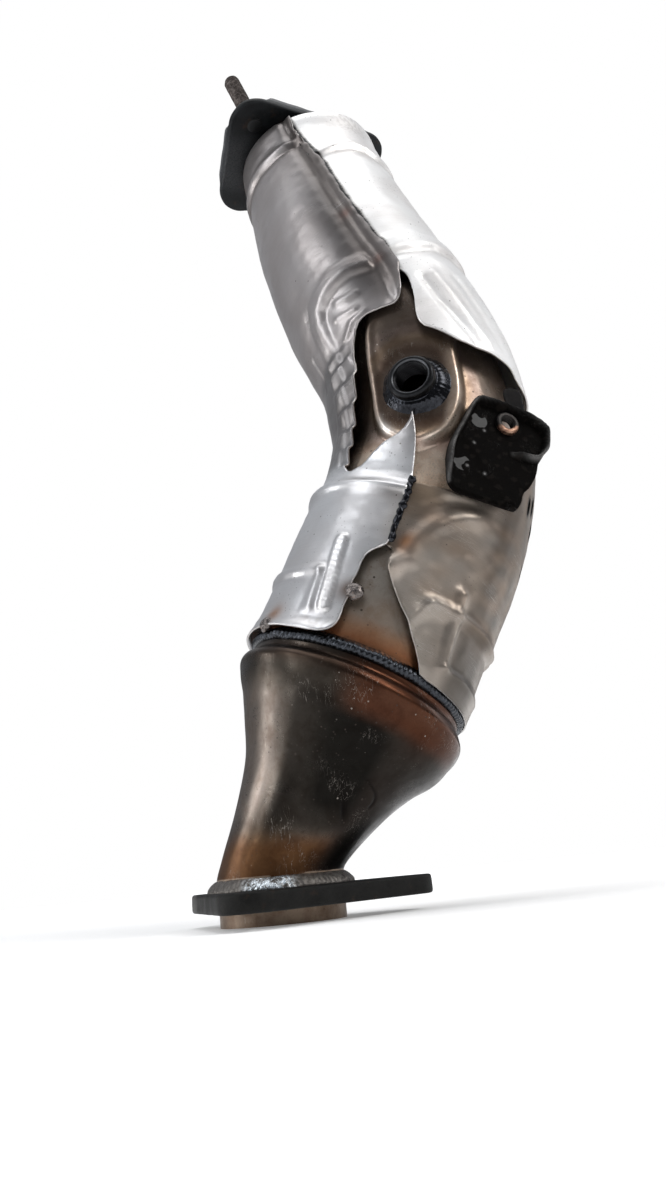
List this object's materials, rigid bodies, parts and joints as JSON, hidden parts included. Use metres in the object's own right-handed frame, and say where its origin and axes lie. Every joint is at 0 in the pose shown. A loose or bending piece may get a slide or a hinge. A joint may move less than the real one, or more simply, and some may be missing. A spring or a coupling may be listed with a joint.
{
  "type": "catalytic converter",
  "caption": "Manifold catalytic converter: flanged conical outlet, shielded elbow body with a sensor boss and a side bracket, and a flanged inlet with a stud.",
  "frame": {"origin": "centre of the outlet neck at the lower flange's joint face", "axes": "+Z along the outlet flange's normal, up into the converter; +X to the right and +Y away as the sensor boss faces the viewer"},
  "size_m": [0.2051, 0.183, 0.5159],
  "materials": {
    "shield_steel": "bare pressed sheet, faintly brown on the left and bright on the right",
    "elbow_steel": "heat-tinted, brown to straw, satin",
    "cone_steel": "heat-tinted brown-bronze with a dark band",
    "can_steel": "heat-tinted, satin",
    "weld_metal": "dark glossy weld bead",
    "outlet_flange_iron": "dark grey scale",
    "inlet_flange_black": "black, matt",
    "stud_steel": "rusty thread with a worn shank",
    "boss_steel": "dark, smooth turned",
    "bracket_black": "black, worn bright at the rolled edges",
    "nut_copper": "copper-coloured",
    "mat_fibre": "pressed ceramic fibre",
    "brick_ceramic": "unglazed honeycomb, shown solid"
  },
  "bodies": {
    "root": {"lower_flange": "outlet_flange_iron", "lower_flange_weld": "weld_metal", "outlet_neck": "cone_steel", "outlet_reducer": "cone_steel", "lower_cone": "cone_steel", "lower_canister": "can_steel", "lower_mat": "mat_fibre", "lower_brick": "brick_ceramic", "ring_weld": "weld_metal", "mid_shell_front": "elbow_steel", "mid_shell_rear": "elbow_steel", "sensor_boss": "boss_steel", "boss_weld": "weld_metal", "upper_canister": "can_steel", "upper_mat": "mat_fibre", "upper_brick": "brick_ceramic", "upper_cone": "can_steel", "upper_flange": "inlet_flange_black", "upper_flange_weld": "weld_metal", "upper_stud": "stud_steel", "left_shield": "shield_steel", "upper_right_shield": "shield_steel", "lower_right_shield": "shield_steel", "bracket": "bracket_black", "bracket_rear_tab": "bracket_black", "bracket_nut": "nut_copper", "bracket_weld_low": "weld_metal", "bracket_weld_high": "weld_metal", "shield_tack_front": "weld_metal", "shield_tack_left": "weld_metal"}
  },
  "joints": []
}
